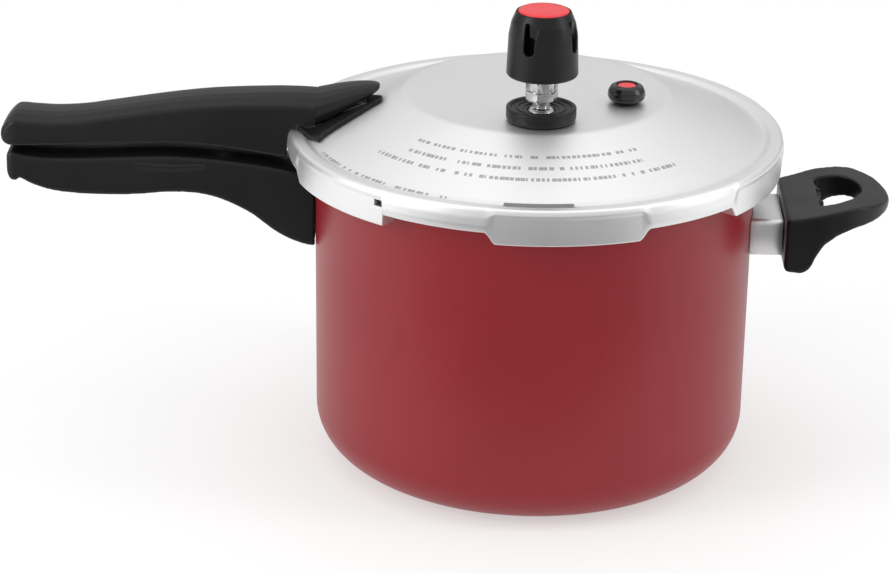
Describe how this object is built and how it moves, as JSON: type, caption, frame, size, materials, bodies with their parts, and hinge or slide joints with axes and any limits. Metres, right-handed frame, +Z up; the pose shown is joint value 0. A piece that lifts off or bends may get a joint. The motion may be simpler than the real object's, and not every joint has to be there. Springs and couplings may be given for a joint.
{
  "type": "stovetop pressure cooker",
  "caption": "Aluminium stovetop pressure cooker with a bayonet lid, long handles, a helper handle, a weighted regulator and a safety valve.",
  "frame": {"origin": "centre of the pot's flat bottom", "axes": "+Z up, long handles towards -X, helper handle towards +X"},
  "size_m": [0.4168, 0.232, 0.2306],
  "materials": {
    "red_coating": "satin baked coating",
    "polished_aluminium": "polished and finely spun",
    "satin_aluminium": "satin",
    "black_phenolic": "moulded, satin",
    "bracket_steel": "zinc plated sheet",
    "screw_steel": "plated",
    "bright_metal": "nickel plated, turned",
    "grey_rubber": "silicone, matt",
    "black_rubber": "silicone, semi-gloss",
    "red_plastic": "gloss"
  },
  "bodies": {
    "pot": {"pot_body": "red_coating", "body_handle": "black_phenolic", "body_handle_bracket": "bracket_steel", "body_handle_rivet_1": "polished_aluminium", "body_handle_rivet_2": "polished_aluminium", "body_handle_screw": "screw_steel", "helper_bracket": "satin_aluminium", "helper_bracket_rivet_1": "polished_aluminium", "helper_bracket_rivet_2": "polished_aluminium", "helper_handle": "black_phenolic", "helper_handle_screw": "screw_steel"},
    "seal": {"gasket": "grey_rubber"},
    "lid": {"lid_shell": "polished_aluminium", "lid_handle": "black_phenolic", "lid_handle_cover": "black_phenolic", "lid_handle_bracket": "bracket_steel", "lid_handle_rivet_1": "polished_aluminium", "lid_handle_rivet_2": "polished_aluminium", "lid_handle_screw": "screw_steel", "vent_stem": "bright_metal", "vent_ring": "black_phenolic", "vent_washer": "grey_rubber", "vent_nut": "bright_metal", "safety_seal": "black_rubber"},
    "needle": {"weight_needle": "bright_metal"},
    "weight": {"weight_core": "bright_metal", "weight_cap": "black_phenolic", "weight_cap_screw": "screw_steel", "weight_badge": "red_plastic"},
    "safety": {"safety_plug": "red_plastic"}
  },
  "joints": [
    {"name": "lid_lift", "type": "slide", "parent": "pot", "child": "seal", "axis": [0, 0, 1], "range_m": [0, 0.12]},
    {"name": "lid_turn", "type": "hinge", "parent": "seal", "child": "lid", "pos_m": [0, 0, 0.15], "axis": [0, 0, 1], "range_deg": [0, 30]},
    {"name": "weight_lift", "type": "slide", "parent": "lid", "child": "needle", "axis": [0, 0, 1], "range_m": [0, 0.03]},
    {"name": "weight_spin", "type": "hinge", "parent": "needle", "child": "weight", "pos_m": [0.0025, -0.042, 0.2], "axis": [0, 0, 1], "continuous": true},
    {"name": "safety_pop", "type": "slide", "parent": "lid", "child": "safety", "axis": [0, 0, 1], "range_m": [0, 0.02]}
  ]
}
